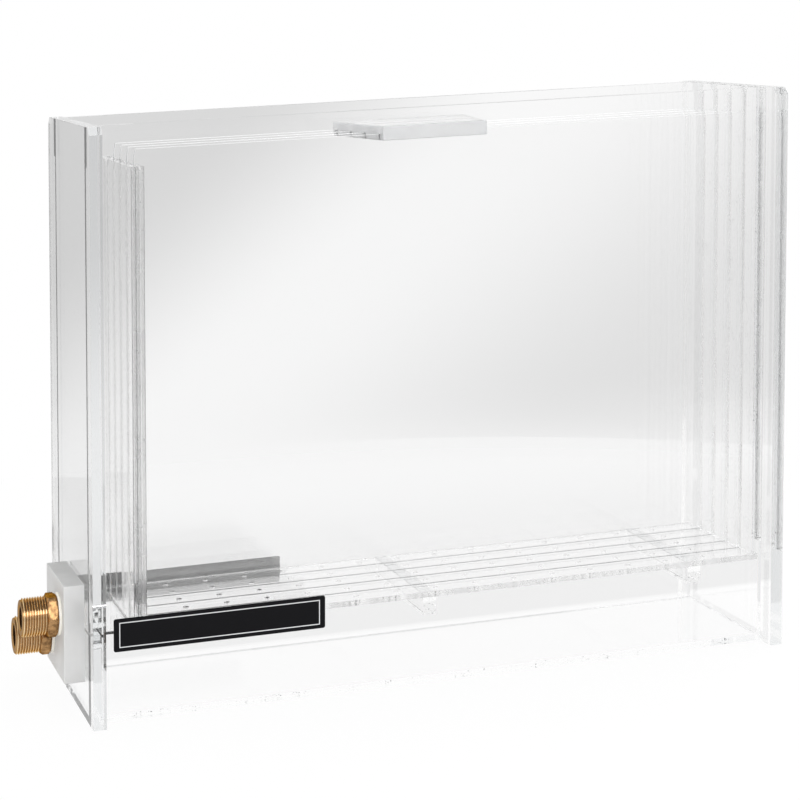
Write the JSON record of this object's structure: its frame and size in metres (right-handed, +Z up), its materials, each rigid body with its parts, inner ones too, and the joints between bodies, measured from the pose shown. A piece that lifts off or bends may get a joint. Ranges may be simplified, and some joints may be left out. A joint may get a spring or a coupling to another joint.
{
  "type": "archival print washer",
  "caption": "Tall clear tank that washes photographic prints standing between lift-out dividers, with a perforated false floor, an overflow weir and brass hose fittings.",
  "frame": {"origin": "at the base, in the middle of the overall length and depth, hose fittings included", "axes": "+X along the tank towards the end without fittings, +Y from the labelled front to the back, +Z up"},
  "size_m": [0.5404, 0.16, 0.4],
  "materials": {
    "acrylic": "polished clear, saw-cut edges satin",
    "brass": "machined",
    "gasket": "matt",
    "label": "satin black"
  },
  "bodies": {
    "tank": {"left_end_panel": "acrylic", "right_end_panel": "acrylic", "front_panel": "acrylic", "back_panel": "acrylic", "floor_panel": "acrylic", "diffuser_ribs": "acrylic", "weir_wall": "acrylic", "drain_floor": "acrylic", "fitting_block": "acrylic", "diffuser_plate": "acrylic", "left_comb": "acrylic", "right_comb": "acrylic", "outlet_fitting": "brass", "inlet_fitting": "brass", "outlet_gasket": "gasket", "inlet_gasket": "gasket", "front_label": "label", "back_label": "label"},
    "print_rack": {"divider_1": "acrylic", "divider_2": "acrylic", "divider_3": "acrylic", "divider_4": "acrylic", "handle_plate": "acrylic"}
  },
  "joints": [
    {"name": "rack_lift", "type": "slide", "parent": "tank", "child": "print_rack", "axis": [0, 0, 1], "range_m": [0, 0.345]}
  ]
}
